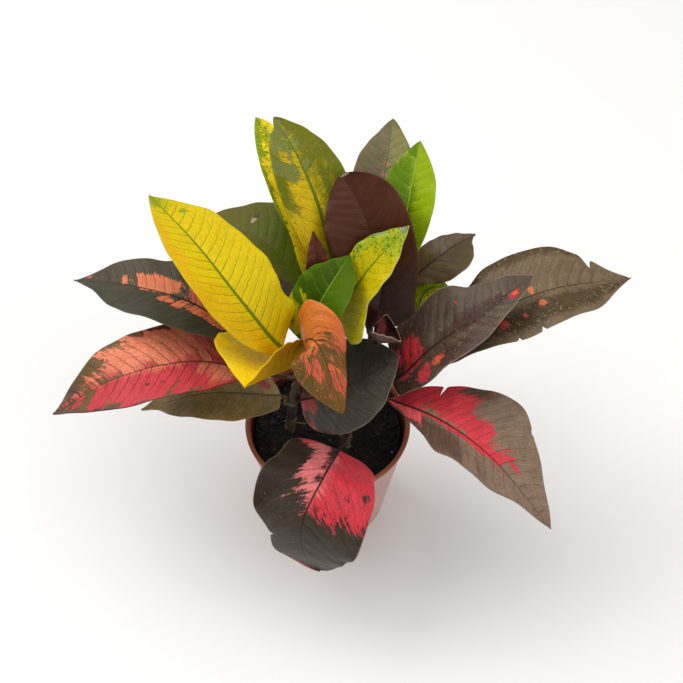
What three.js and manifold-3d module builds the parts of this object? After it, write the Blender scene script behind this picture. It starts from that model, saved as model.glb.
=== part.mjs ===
// A croton in a 12 cm nursery pot: two woody stems stand in the soil, and each carries broad leathery leaves.
// Millimetres, +Z up, the origin at the middle of the pot's foot. The plant's front faces -Y.
import * as THREE from "three";
import { mergeVertices } from "three/addons/utils/BufferGeometryUtils.js";
import Module from "manifold-3d";

const wasm = await Module();
wasm.setup();

// Pot
const potHeight = 95;
const rimRadius = 60;
const footRadius = 41.5;
const potWall = 1.8;
const potFloor = 2.4;
const lipWidth = 3.2;
const lipHeight = 3.4;
const lipBevel = 0.8;
const potSides = 40;
const drainHoles = 6;
const drainRadius = 4;
const drainRing = 29;
const drainSides = 12;

// Soil
const soilTop = 84;
const soilCrumb = 1.1;
const soilRings = [47, 40, 32, 24, 16, 8, 0]; // radii that carry the crumbs
const soilShoulder = 4; // the crumbs' edge slopes down to the pot's wall over this height
const gap = 0.3; // between solids that touch on the real plant

// Stems: the line of the middle of each one, from below the soil, through its surface, up to the crown
const stemSides = 10;
const stemSteps = 40;
const stemTopRadius = 2.5;
const ringPitch = 8.5; // from one leaf scar to the next
const ringHeight = 0.45;
const bareStem = 3; // above the soil, with no scars
const crownRounding = 0.4;
const stems = {
  left: { radius: 4, line: [[-27, 0, 54], [-27, 2, 85], [-24, 6, 120], [-15, 9, 156], [-10, 12, 184]] },
  right: { radius: 3.6, line: [[9, -25, 56], [11, -22, 85], [18, -13, 124], [26, 0, 152], [34, 12, 180]] },
};

// Leaves
const bladeHalfThickness = 0.42;
const midribDepth = 0.9;
const stalkRadius = 1.5;
const stalkSteps = 3;
const bladeSteps = 14;
const acrossSteps = 4;
const tipWidth = 1.2;
const bladeOpening = 0.12; // share of the blade over which the round stalk turns into the thin blade
const edgeShift = 2; // radians between the ripples of the two edges

// What a leaf has where its entry gives nothing else.
// widest: where along the blade the full width is reached. taper: how pointed the base and the tip are.
// turn swings the blade's halves about the vertical and roll about the midrib, fold lifts both and cup curls
// them, in degrees. skew widens the left half and narrows the right one.
// wave and waves: height and number of the ripples along each edge.
const plainLeaf = {
  widest: 0.45, taper: [0.85, 0.85], turn: 0, roll: 0, fold: 10, cup: 0, skew: 0, wave: 1.2, waves: 2,
};

// stem, up: the stem, and the height along it where the stalk starts (0 soil, 1 crown).
// blade: the midrib, from the blade's base to its tip. width: full width.
const leaves = {
  leaf_yellow_left: {
    stem: "left", up: 0.84, blade: [[-30, -8, 192], [-57, 5, 228], [-88, 42, 243], [-124, 94, 236]],
    width: 62, roll: 8, skew: -0.09, waves: 2.5, colour: "#d9cf1c",
  },
  leaf_yellow_back: {
    stem: "left", up: 0.88, blade: [[-9, 41, 198], [-15, 82, 240], [-51, 154, 251]],
    width: 48, widest: 0.5, fold: 14, wave: 1.5, colour: "#d6c91d",
  },
  leaf_olive_back: {
    stem: "left", up: 0.93, blade: [[5, 37, 205], [-4, 65, 248], [-21, 99, 272], [-37, 129, 276]],
    width: 50, fold: 14, colour: "#8b9330",
  },
  leaf_green_shaded: {
    stem: "left", up: 0.78, blade: [[-8, 36, 180], [-46, 78, 206], [-92, 108, 192]],
    width: 60, widest: 0.5, taper: [0.5, 0.85], fold: 8, skew: -0.12, wave: 1.5, colour: "#4c5a2a",
  },
  leaf_dark_left: {
    stem: "left", up: 0.7, blade: [[-51, 14, 172], [-92, 30, 194], [-136, 48, 192], [-181, 67, 176]],
    width: 57, widest: 0.48, taper: [0.85, 0.95], fold: 8, wave: 1.8, waves: 2.5, colour: "#4b4a36",
  },
  leaf_red_left: {
    stem: "left", up: 0.5, blade: [[-46, 6, 146], [-90, 0, 168], [-140, -14, 170], [-191, -26, 142]],
    width: 64, widest: 0.52, fold: 8, wave: 2, waves: 2.5, colour: "#b8463c",
  },
  leaf_brown_low_left: {
    stem: "left", up: 0.25, blade: [[-34, 5, 120], [-85, -4, 136], [-133, -4, 116]],
    width: 48, widest: 0.42, taper: [0.5, 1.3], fold: 6, wave: 1.5, colour: "#3d3b26",
  },
  leaf_yellow_folded: {
    stem: "left", up: 0.66, blade: [[-22, -3, 167], [-37, -25, 186], [-54, -49, 204]],
    width: 74, taper: [0.85, 0.7], roll: 35, fold: 45, skew: -0.22, wave: 1, colour: "#e0bf17",
  },
  leaf_green_young: {
    stem: "left", up: 0.9, blade: [[-17, 4, 187], [-2, 13, 223], [16, 37, 238]],
    width: 48, widest: 0.42, taper: [0.2, 0.85], fold: 22, skew: -0.12, wave: 1, colour: "#4f8a1c",
  },
  leaf_lime_young: {
    stem: "left", up: 0.95, blade: [[4, 13, 195], [28, 26, 235], [55, 41, 263]],
    width: 42, taper: [0.5, 0.85], fold: 16, skew: -0.12, wave: 1, colour: "#b4c41e",
  },
  leaf_maroon_small: {
    stem: "left", up: 1, blade: [[-7, 28, 205], [-6, 35, 230], [-9, 44, 254]],
    width: 18, fold: 20, wave: 0.5, waves: 1, colour: "#3f231c",
  },
  leaf_orange_centre: {
    stem: "left", up: 0.58, blade: [[-13, -14, 186], [-13, -19, 216], [-4, -28, 218], [11, -54, 182]],
    width: 52, widest: 0.44, taper: [0.7, 0.72], turn: 40, roll: 30, fold: 0, skew: -0.12, wave: 1,
    colour: "#c06a3c",
  },
  leaf_grey_centre: {
    stem: "left", up: 0.34, blade: [[-18, -1, 124], [14, -18, 163], [49, -16, 194]],
    width: 66, taper: [0.6, 0.75], roll: 28, fold: 0, wave: 1, colour: "#45443c",
  },
  leaf_maroon_tall: {
    stem: "right", up: 0.97, blade: [[34, 17, 185], [38, 35, 219], [26, 58, 254], [10, 80, 272]],
    width: 60, widest: 0.58, taper: [0.4, 0.65], roll: -25, fold: 12, wave: 1.5, colour: "#41241c",
  },
  leaf_green_tall: {
    stem: "right", up: 0.89, blade: [[48, 42, 202], [55, 66, 256], [63, 96, 287]],
    width: 38, widest: 0.54, fold: 14, wave: 1, colour: "#6fae25",
  },
  leaf_mottled_back: {
    stem: "right", up: 0.83, blade: [[33, 69, 222], [40, 104, 246], [46, 143, 261]],
    width: 44, colour: "#5a5442",
  },
  leaf_brown_right: {
    stem: "right", up: 0.77, blade: [[57, 46, 194], [81, 60, 213], [104, 80, 211]],
    width: 34, widest: 0.44, taper: [0.8, 1.4], fold: 12, skew: -0.15, wave: 1.5, waves: 1.5,
    colour: "#40352a",
  },
  leaf_yellow_tucked: {
    stem: "right", up: 0.44, blade: [[56, 27, 162], [69, 44, 191], [87, 47, 190]],
    width: 26, widest: 0.5, wave: 0.5, waves: 1, colour: "#b9b43a",
  },
  leaf_dark_right: {
    stem: "right", up: 0.68, blade: [[62, 2, 170], [106, 10, 203], [153, 25, 216], [211, 48, 200]],
    width: 70, widest: 0.55, taper: [0.45, 0.85], fold: 8, skew: 0.05, wave: 2, waves: 3, colour: "#4d4738",
  },
  leaf_dark_lobed: {
    stem: "right", up: 0.74, blade: [[46, -11, 160], [73, -10, 199], [107, 0, 226], [139, 24, 232]],
    width: 54, widest: 0.36, taper: [0.7, 0.85], skew: 0.1, wave: 2, waves: 2.5, colour: "#4a4334",
  },
  leaf_crimson_low_right: {
    stem: "right", up: 0.5, blade: [[42, -18, 148], [78, -43, 158], [114, -65, 142], [155, -91, 96]],
    width: 62, widest: 0.55, fold: 8, skew: 0.28, wave: 1.5, colour: "#8f2c33",
  },
  leaf_crimson_front: {
    stem: "right", up: 0.2,
    blade: [[8, -37, 112], [-2, -66, 124], [-16, -93, 112], [-17, -98, 78], [-5, -91, 41]],
    width: 78, widest: 0.5, taper: [0.18, 0.7], turn: -15, roll: -8, fold: 0, skew: 0.12, wave: 1.5,
    colour: "#7b3236",
  },
  leaf_bud_upright: {
    stem: "right", up: 0.95, blade: [[29, 6, 196], [25, 7, 209], [24, 9, 222]],
    width: 21, widest: 0.5, fold: 40, wave: 0.3, waves: 1, colour: "#4a1f1a",
  },
  leaf_bud_curled: {
    stem: "right", up: 0.96, blade: [[34, -3, 198], [41, -8, 202], [50, -12, 206]],
    width: 35, widest: 0.5, cup: 50, wave: 0.3, waves: 1, colour: "#5c3b33",
  },
};

const up = new THREE.Vector3(0, 0, 1);
const vector = (point) => new THREE.Vector3(...point);
const radians = THREE.MathUtils.degToRad;
const lerp = THREE.MathUtils.lerp;
const smooth = THREE.MathUtils.smoothstep;
const curveThrough = (points) => new THREE.CatmullRomCurve3(points, false, "catmullrom", 0.5);

// A closed mesh with only its positions, and its shared vertices merged.
function closedGeometry(geometry) {
  geometry.deleteAttribute("normal");
  geometry.deleteAttribute("uv");
  return mergeVertices(geometry, 1e-4);
}

function solidOf(geometry) {
  const closed = closedGeometry(geometry);
  return new wasm.Manifold(
    new wasm.Mesh({
      numProp: 3,
      vertProperties: closed.attributes.position.array,
      triVerts: new Uint32Array(closed.index.array),
    }),
  );
}

function geometryOf(solid) {
  const mesh = solid.getMesh();
  return new THREE.BufferGeometry()
    .setAttribute("position", new THREE.BufferAttribute(mesh.vertProperties, 3))
    .setIndex(new THREE.BufferAttribute(mesh.triVerts, 1));
}

// Moves each vertex of a geometry to the place that a function gives for it.
function shaped(geometry, place) {
  const position = geometry.attributes.position;
  const vertex = new THREE.Vector3();
  for (let i = 0; i < position.count; i++) {
    vertex.fromBufferAttribute(position, i);
    position.setXYZ(i, ...place(vertex));
  }
  return geometry;
}

// A lathed solid stands along +Y in three.js, so it is turned up to +Z.
function lathed(profile) {
  const outline = profile.map(([radius, height]) => new THREE.Vector2(radius, height));
  return new THREE.LatheGeometry(outline, potSides).rotateX(Math.PI / 2);
}

const wallRadius = (height) => lerp(footRadius, rimRadius - lipWidth + potWall, height / potHeight);
const innerRadius = (height) => wallRadius(height) - potWall;

// The pot is a tapered cup with a rolled lip and a ring of drain holes in its floor.
function potGeometry() {
  const lipFoot = potHeight - lipHeight;
  const pot = solidOf(
    lathed([
      [0, 0],
      [footRadius, 0],
      [wallRadius(lipFoot), lipFoot],
      [rimRadius - lipBevel / 2, lipFoot + lipBevel / 2],
      [rimRadius, potHeight - lipBevel],
      [rimRadius - lipBevel, potHeight],
      [rimRadius - lipWidth, potHeight],
      [innerRadius(potFloor), potFloor],
      [0, potFloor],
    ]),
  );
  const holes = Array.from({ length: drainHoles }, (_, i) => {
    const angle = ((i + 0.5) * 2 * Math.PI) / drainHoles;
    const drill = new THREE.CylinderGeometry(drainRadius, drainRadius, 4 * potFloor, drainSides);
    drill.rotateX(Math.PI / 2);
    return solidOf(drill.translate(drainRing * Math.cos(angle), drainRing * Math.sin(angle), potFloor / 2));
  });
  return geometryOf(holes.reduce((body, hole) => body.subtract(hole), pot));
}

// Where the middle of a stem is at a share of its height above the soil.
function stemAt(stem, share) {
  const soilShare = 1 / (stem.line.length - 1);
  return curveThrough(stem.line.map(vector)).getPoint(lerp(soilShare, 1, share));
}

const stemRadiusAt = (stem, share) => lerp(stem.radius, stemTopRadius, share);

// A stem is a round bar along its line, swollen in a ring at each leaf scar and rounded off at its crown.
function stemGeometry(stem) {
  const curve = curveThrough(stem.line.map(vector));
  const bar = new THREE.CylinderGeometry(1, 1, 1, stemSides, stemSteps).rotateX(Math.PI / 2);
  const bottom = stem.line[0][2];
  return shaped(bar, ({ x, y, z }) => {
    const share = z + 0.5;
    const middle = curve.getPoint(share);
    const bulge = Math.max(0, Math.cos((2 * Math.PI * (middle.z - bottom)) / ringPitch)) ** 4;
    const ring = middle.z > soilTop + bareStem ? ringHeight * bulge : 0;
    const crown = 1 - crownRounding * smooth(share, 0.97, 1);
    const radius = (stemRadiusAt(stem, share) + ring) * crown;
    return [middle.x + radius * x, middle.y + radius * y, middle.z];
  });
}

// The soil fills the pot, with a crumbly top and a plain hole round each stem.
function soilGeometry() {
  const bottom = potFloor + gap;
  const shoulder = soilTop - soilShoulder;
  const body = lathed([
    [0, bottom],
    [innerRadius(bottom) - gap, bottom],
    [innerRadius(shoulder) - gap, shoulder],
    ...soilRings.map((radius) => [radius, soilTop]),
  ]);
  const crumbs = shaped(body, ({ x, y, z }) => {
    const lump = Math.sin(x * 0.31 + y * 0.17) * Math.cos(y * 0.27 - x * 0.12);
    const bump = lump + 0.5 * Math.sin(x * 0.8 - y * 0.7);
    return [x, y, z === soilTop ? soilTop + soilCrumb * bump : z];
  });
  const holes = Object.values(stems).map(({ radius, line }) => {
    const [[x, y, z], ...rest] = line;
    return solidOf(stemGeometry({ radius: radius + gap, line: [[x, y, z - gap], ...rest] }));
  });
  return geometryOf(holes.reduce((soil, hole) => soil.subtract(hole), solidOf(crumbs)));
}

// The half width of a blade at a share of its length: a long oval that ends in a point.
function halfWidth(leaf, share) {
  const swell = Math.log(0.5) / Math.log(leaf.widest);
  const oval = Math.sin(Math.PI * share ** swell) ** lerp(...leaf.taper, share);
  return Math.max(tipWidth / 2, (leaf.width / 2) * oval);
}

// The line of a leaf: out of its stem, along its stalk and then along the blade's midrib.
function leafCurve(leaf) {
  const stem = stems[leaf.stem];
  const root = stemAt(stem, leaf.up);
  const away = vector(leaf.blade[0]).sub(root).normalize();
  const level = away.clone().setZ(0).normalize();
  const clear = stemRadiusAt(stem, leaf.up) + gap + (stalkRadius + ringHeight) * away.z;
  return curveThrough([root.addScaledVector(level, clear), ...leaf.blade.map(vector)]);
}

// A leaf is one closed slab, a round stalk that opens into a thin blade, laid along its line.
function leafGeometry(leaf) {
  const curve = leafCurve(leaf);
  const heading = vector(leaf.blade.at(-1)).sub(vector(leaf.blade[0])).setZ(0).normalize();
  const across = new THREE.Vector3(-heading.y, heading.x, 0).applyAxisAngle(up, radians(leaf.turn));
  const bladeStart = 1 / leaf.blade.length;
  const steps = stalkSteps + bladeSteps;
  const slab = new THREE.BoxGeometry(1, 2, 1, steps, acrossSteps, 1);
  splitAlike(slab, steps, acrossSteps);

  return shaped(slab, ({ x, y, z }) => {
    const station = Math.round((x + 0.5) * steps);
    const share = Math.max(0, (station - stalkSteps) / bladeSteps);
    const along = share > 0 ? lerp(bladeStart, 1, share) : (bladeStart * station) / stalkSteps;
    const tangent = curve.getTangent(along);
    const side = across.clone().addScaledVector(tangent, -across.dot(tangent)).normalize();
    side.applyAxisAngle(tangent, radians(leaf.roll));
    const normal = new THREE.Vector3().crossVectors(tangent, side);

    const reach = Math.abs(y);
    const blade = smooth(share, 0, bladeOpening);
    const skew = 1 + Math.sign(y) * leaf.skew * blade;
    const wide = share > 0 ? Math.max(stalkRadius * (1 - share), halfWidth(leaf, share)) : stalkRadius;
    const half = skew * wide;
    const lift = radians(leaf.fold + leaf.cup * reach) * blade;
    const phase = 2 * Math.PI * leaf.waves * share + (y > 0 ? 0 : edgeShift);
    const ripple = leaf.wave * reach ** 2 * Math.sin(phase) * blade;
    const round = stalkRadius * Math.sqrt(1 - (0.92 * reach) ** 2);
    const rib = z < 0 ? midribDepth * (1 - share) * Math.max(0, 1 - 2 * reach) : 0;
    const thick = Math.sign(z) * lerp(round, bladeHalfThickness + rib, blade);
    return curve
      .getPoint(along)
      .addScaledVector(side, y * half * Math.cos(lift))
      .addScaledVector(normal, reach * half * Math.sin(lift) + ripple + thick)
      .toArray();
  });
}

// A box's two broad faces are split along opposite diagonals. The lower one is turned to match the upper one,
// so that a rippled blade never crosses itself.
function splitAlike(slab, lengthSteps, widthSteps) {
  const lower = slab.groups[5];
  const index = slab.index.array;
  for (let i = lower.start; i < lower.start + lengthSteps * widthSteps * 6; i += 6) {
    const [a, b, d] = index.slice(i, i + 3);
    const c = index[i + 4];
    index.set([a, b, c, a, c, d], i);
  }
}

const group = new THREE.Group();

function addPiece(name, geometry, color, roughness) {
  const material = new THREE.MeshStandardMaterial({ color, roughness, metalness: 0 });
  const mesh = new THREE.Mesh(geometry, material);
  mesh.name = name;
  group.add(mesh);
}

addPiece("pot", potGeometry(), "#8e4438", 0.55);
addPiece("soil", soilGeometry(), "#17130f", 0.95);
for (const [name, stem] of Object.entries(stems)) {
  addPiece(`stem_${name}`, stemGeometry(stem), "#5d5440", 0.85);
}
for (const [name, entry] of Object.entries(leaves)) {
  addPiece(name, leafGeometry({ ...plainLeaf, ...entry }), entry.colour, 0.45);
}

export default group;
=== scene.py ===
import math
import random

import bmesh
import bpy
from mathutils import Matrix, Quaternion, Vector, noise


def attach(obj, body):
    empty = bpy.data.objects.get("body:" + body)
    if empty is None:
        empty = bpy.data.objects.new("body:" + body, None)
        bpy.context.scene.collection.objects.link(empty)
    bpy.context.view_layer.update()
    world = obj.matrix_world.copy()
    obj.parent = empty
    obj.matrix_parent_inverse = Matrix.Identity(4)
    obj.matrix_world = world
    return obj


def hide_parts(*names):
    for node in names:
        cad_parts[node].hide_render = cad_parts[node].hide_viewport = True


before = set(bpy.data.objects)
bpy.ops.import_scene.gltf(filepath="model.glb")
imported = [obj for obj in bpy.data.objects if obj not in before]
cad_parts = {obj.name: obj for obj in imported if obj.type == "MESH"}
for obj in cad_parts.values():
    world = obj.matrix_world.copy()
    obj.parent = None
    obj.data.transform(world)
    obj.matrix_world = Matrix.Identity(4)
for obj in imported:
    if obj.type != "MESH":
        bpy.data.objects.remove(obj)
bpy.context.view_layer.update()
print("frame loaded:", len(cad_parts), "nodes")

mm = 0.001


# Node tree helpers

def linearColour(code):
    parts = [int(code[i:i + 2], 16) / 255 for i in (0, 2, 4)]
    return [p / 12.92 if p < 0.0405 else ((p + 0.055) / 1.055) ** 2.4 for p in parts] + [1]


def feed(tree, socket, value):
    if isinstance(value, bpy.types.NodeSocket):
        tree.links.new(value, socket)
    elif isinstance(value, str):
        socket.default_value = linearColour(value)
    else:
        socket.default_value = value


def addNode(tree, kind, inputs=None, **settings):
    node = tree.nodes.new(kind)
    for key, value in settings.items():
        setattr(node, key, value)
    for key, value in (inputs or {}).items():
        feed(tree, node.inputs[key], value)
    return node


def maths(tree, operation, a, b=0.0, clamp=False):
    return addNode(tree, "ShaderNodeMath", {0: a, 1: b}, operation=operation, use_clamp=clamp).outputs[0]


def times(tree, a, b):
    return maths(tree, "MULTIPLY", a, b)


def less(tree, a, b, clamp=False):
    return maths(tree, "SUBTRACT", a, b, clamp)


def total(tree, first, *others):
    for other in others:
        first = maths(tree, "ADD", first, other)
    return first


def swing(tree, value, share):  # a pattern that lies around a half, brought round nothing and scaled
    return times(tree, less(tree, value, 0.5), share)


def rise(tree, value, low, high):  # 0 below low, 1 above high, smooth between
    return addNode(tree, "ShaderNodeMapRange", {0: value, 1: low, 2: high, 3: 0.0, 4: 1.0},
                   interpolation_type="SMOOTHSTEP").outputs[0]


def mixColour(tree, share, a, b):
    return addNode(tree, "ShaderNodeMix", {0: share, 6: a, 7: b}, data_type="RGBA").outputs[2]


def readAttribute(tree, name):
    return addNode(tree, "ShaderNodeAttribute", attribute_name=name).outputs["Fac"]


def noiseAt(tree, vector, scale, detail, rough):
    return addNode(tree, "ShaderNodeTexNoise",
                   {"Vector": vector, "Scale": scale, "Detail": detail, "Roughness": rough}).outputs["Fac"]


def newGroup(name, colours, values, outputs, outKind="NodeSocketFloat"):
    group = bpy.data.node_groups.new(name, "ShaderNodeTree")
    sockets = [(n, "INPUT", "NodeSocketColor") for n in colours]
    sockets += [(n, "INPUT", "NodeSocketFloat") for n in values]
    for label, way, kind in sockets + [(n, "OUTPUT", outKind) for n in outputs]:
        group.interface.new_socket(name=label, in_out=way, socket_type=kind)
    return group, group.nodes.new("NodeGroupInput").outputs, group.nodes.new("NodeGroupOutput").inputs


def newMaterial(name):
    material = bpy.data.materials.new(name)
    material.use_nodes = True
    tree = material.node_tree
    return material, tree, tree.nodes["Principled BSDF"]


def placeGroup(tree, group, values):
    node = tree.nodes.new("ShaderNodeGroup")
    node.node_tree = group
    for key, value in values.items():
        feed(tree, node.inputs[key], value)
    return node.outputs


def dressShader(tree, shader, paint, rough, height=None, strength=0.5, distance=0.0005):
    feed(tree, shader.inputs["Base Color"], paint)
    feed(tree, shader.inputs["Roughness"], rough)
    if height:
        values = {"Strength": strength, "Distance": distance, "Height": height}
        feed(tree, shader.inputs["Normal"], addNode(tree, "ShaderNodeBump", values).outputs[0])


def addToScene(thing):
    bpy.context.scene.collection.objects.link(thing)


# Shared shader groups

maskNames = ("Blush", "Shade", "Glow", "Fleck", "Spatter", "Vein", "Rib", "Edge", "Net", "Mottle", "Streak",
             "Grit", "Under")
# what a blade's mesh carries for its material, and what each group takes from the leaf's own values
leafLayers = ("along", "across", "phase", "reach", "edge", "under")
patchLayers = ("blush", "shade", "glow", "flecks")
maskInputs = ("jag", "laneJag", "fleck", "spatter", "veinWidth", "ribWidth")
paintColours = ("base", "second", "accent", "glowColour", "fleckColour", "spatterColour", "veinColour",
                "ribColour", "edgeColour", "underColour")
paintShares = ("vein", "net", "edge", "mottle", "streak", "grit", "under")

# Patterns that lie in the lanes between the side veins: [scale along, scale across, detail, roughness].
lanePatterns = {
    "ragged": [0.9, 3.2, 5.0, 0.66], "fine": [2.4, 7.0, 3.0, 0.6], "streak": [11.0, 2.4, 3.0, 0.6],
}
netScale = [2.2, 7.5]
# Patterns in the object's own space: [scale, detail, roughness].
openPatterns = {
    "wobble": [170.0, 2.0, 0.5], "speck": [460.0, 3.0, 0.7], "mottle": [75.0, 6.0, 0.65],
    "grit": [900.0, 2.0, 0.7],
}


# Where a leaf's patterns lie: lanes between the side veins, jagged blotches, flecks, veins and margin.
def makeLeafMasks():
    group, given, out = newGroup("leafMasks", (), ("seed",) + maskInputs, maskNames)
    field = {n: readAttribute(group, n) for n in leafLayers + patchLayers}
    wide = maths(group, "ABSOLUTE", field["across"])
    seed = total(group, given["seed"], times(group, maths(group, "SIGN", field["across"]), 3.7))
    place = addNode(group, "ShaderNodeTexCoord").outputs["Object"]
    phase = total(group, field["phase"], swing(group, noiseAt(group, place, *openPatterns["wobble"]), 0.3))

    def laneVector(alongScale, acrossScale):
        parts = {0: times(group, phase, alongScale), 1: times(group, wide, acrossScale), 2: seed}
        return addNode(group, "ShaderNodeCombineXYZ", parts).outputs[0]

    def laneNoise(key):
        alongScale, acrossScale, detail, rough = lanePatterns[key]
        return noiseAt(group, laneVector(alongScale, acrossScale), 1.0, detail, rough)

    def put(mask, value):
        feed(group, out[mask], value)

    ragged, fine, streak = laneNoise("ragged"), laneNoise("fine"), laneNoise("streak")
    cell = addNode(group, "ShaderNodeCombineXYZ", {0: maths(group, "FLOOR", phase), 1: seed})
    lane = addNode(group, "ShaderNodeTexWhiteNoise", {"Vector": cell.outputs[0]}).outputs["Value"]
    push = total(group, swing(group, ragged, given["jag"]), swing(group, lane, given["laneJag"]),
                 swing(group, streak, 0.55), swing(group, fine, 0.35))
    put("Blush", rise(group, total(group, field["blush"], push), 0.45, 0.55))
    put("Shade", rise(group, total(group, field["shade"], times(group, push, 0.8)), 0.3, 0.7))
    put("Glow", rise(group, total(group, field["glow"], times(group, push, 0.7)), 0.3, 0.7))
    # flecks are dark islands in the blush: a few everywhere, more where the leaf's own patches ask for them
    islands = maths(group, "MAXIMUM", swing(group, field["flecks"], 0.5), -0.05)
    put("Fleck", rise(group, less(group, total(group, given["fleck"], islands), fine), -0.03, 0.03))
    specks = noiseAt(group, place, *openPatterns["speck"])
    specks = rise(group, less(group, given["spatter"], specks), -0.02, 0.04)
    put("Spatter", times(group, specks, rise(group, field["shade"], 0.05, 0.45)))
    # side veins: on whole numbers of the phase, thinner towards the margin
    line = maths(group, "PINGPONG", phase, 0.5)
    width = times(group, given["veinWidth"], less(group, 1.25, wide))
    vein = less(group, 1.0, rise(group, line, 0.0, width), clamp=True)
    put("Vein", times(group, vein, rise(group, less(group, 1.0, wide), 0.02, 0.25)))
    ribWide = times(group, given["ribWidth"], less(group, 1.1, field["along"]))
    rib = rise(group, field["reach"], times(group, ribWide, 0.5), ribWide)
    put("Rib", less(group, 1.0, rib, clamp=True))
    put("Edge", less(group, 1.0, rise(group, field["edge"], 0.2, 0.7)))
    net = addNode(group, "ShaderNodeTexVoronoi", {"Vector": laneVector(*netScale), "Scale": 1.0},
                  feature="DISTANCE_TO_EDGE")
    put("Net", less(group, 1.0, rise(group, net.outputs["Distance"], 0.0, 0.09)))
    put("Mottle", noiseAt(group, place, *openPatterns["mottle"]))
    put("Streak", streak)
    put("Grit", noiseAt(group, place, *openPatterns["grit"]))
    put("Under", field["under"])
    return group


# Layers the leaf's colours by its masks.
def makeLeafPaint():
    values = maskNames + tuple(n + " share" for n in paintShares)
    group, given, out = newGroup("leafPaint", paintColours, values, ("Colour",), "NodeSocketColor")

    def shareOf(mask):
        return times(group, given[mask], given[mask.lower() + " share"])

    def swingOf(mask):
        return swing(group, given[mask], given[mask.lower() + " share"])

    paint = mixColour(group, given["Shade"], given["base"], given["second"])
    accent = mixColour(group, given["Glow"], given["accent"], given["glowColour"])
    paint = mixColour(group, given["Blush"], paint, accent)
    paint = mixColour(group, times(group, given["Blush"], given["Fleck"]), paint, given["fleckColour"])
    paint = mixColour(group, given["Spatter"], paint, given["spatterColour"])
    paint = mixColour(group, shareOf("Under"), paint, given["underColour"])
    for mask in ("Net", "Vein"):
        paint = mixColour(group, shareOf(mask), paint, given["veinColour"])
    bright = total(group, swingOf("Mottle"), swingOf("Streak"), swingOf("Grit"), 1.0)
    paint = addNode(group, "ShaderNodeHueSaturation", {"Color": paint, "Value": bright}).outputs[0]
    paint = mixColour(group, given["Rib"], paint, given["ribColour"])
    feed(group, out["Colour"], mixColour(group, shareOf("Edge"), paint, given["edgeColour"]))
    return group


# Small grains in the object's own space: a height and a mask, for soil, bark and plastic.
def makeGrain():
    group, given, out = newGroup("grain", (), ("Scale", "Detail"), ("Height", "Patch"))
    place = addNode(group, "ShaderNodeTexCoord").outputs["Object"]
    feed(group, out["Height"], noiseAt(group, place, given["Scale"], given["Detail"], 0.6))
    feed(group, out["Patch"], rise(group, noiseAt(group, place, 60.0, 3.0, 0.55), 0.4, 0.62))
    return group


leafMasks = makeLeafMasks()
leafPaint = makeLeafPaint()
grain = makeGrain()


# Curves and tubes

def curvePoint(points, t):
    last = len(points) - 1
    i = min(int(t * last), last - 1)
    f = t * last - i
    b, c = points[i], points[i + 1]
    a = points[i - 1] if i > 0 else 2 * b - c
    d = points[i + 2] if i + 2 <= last else 2 * c - b
    first, second = 0.5 * (c - a), 0.5 * (d - b)
    bend, twist = 3 * (c - b) - 2 * first - second, 2 * (b - c) + first + second
    return b + first * f + bend * f * f + twist * f ** 3


def curveTangent(points, t):
    return (curvePoint(points, min(1, t + 1e-4)) - curvePoint(points, max(0, t - 1e-4))).normalized()


def smooth(value, low, high):
    x = min(1, max(0, (value - low) / (high - low)))
    return x * x * (3 - 2 * x)


def mix(a, b, share):
    return a + (b - a) * share


def addRod(bm, start, end, radii, segments=14):
    start, end = Vector(start) * mm, Vector(end) * mm
    turn = (end - start).to_track_quat("Z", "Y").to_matrix().to_4x4()
    made = bmesh.ops.create_cone(bm, cap_ends=True, segments=segments, radius1=radii[0] * mm,
                                 radius2=radii[1] * mm, depth=(end - start).length,
                                 matrix=Matrix.Translation((start + end) / 2) @ turn)
    return made["verts"]


def finishPiece(name, bm, materials, nodes):
    bmesh.ops.recalc_face_normals(bm, faces=bm.faces)
    for face in bm.faces:
        face.smooth = True
    mesh = bpy.data.meshes.new(name)
    bm.to_mesh(mesh)
    bm.free()
    for material in materials:
        mesh.materials.append(material)
    piece = bpy.data.objects.new(name, mesh)
    addToScene(piece)
    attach(piece, "root")
    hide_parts(*nodes)
    return piece


# Stems

stems = {
    "left": {
        "radius": 4, "seed": 3,
        "line": [[-27, 0, 54], [-27, 2, 85], [-24, 6, 120], [-15, 9, 156], [-10, 12, 184]],
        "stubs": [[[-19, 7, 142], [-28, 3, 146]], [[-18, 7, 146], [-23, 1, 152]],
                  [[-24, 5, 113], [-30, 2, 115]]],
    },
    "right": {
        "radius": 3.6, "seed": 8,
        "line": [[9, -25, 56], [11, -22, 85], [18, -13, 124], [26, 0, 152], [34, 12, 180]],
        "stubs": [[[14, -18, 106], [9, -21, 108]]],
    },
}
stemLook = {
    "topRadius": 2.5, "ringPitch": 8.5, "ringHeight": 0.75, "ringStart": 54, "barePart": 87, "scarTurn": 2.4,
    "stubRadii": [1.5, 1.05], "sides": 40, "steps": 260, "bark": 0.32, "rough": 0.75,
    "brown": "57432c", "dark": "2a2018", "green": "515c22", "scar": "8a755a",
}

for stem in stems.values():
    stem["points"] = [Vector(p) * mm for p in stem["line"]]


def stemPoint(stem, share):
    first = 1 / (len(stem["points"]) - 1)
    return curvePoint(stem["points"], mix(first, 1, share))


def stemRadius(stem, share):
    return mix(stem["radius"], stemLook["topRadius"], share)


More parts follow.
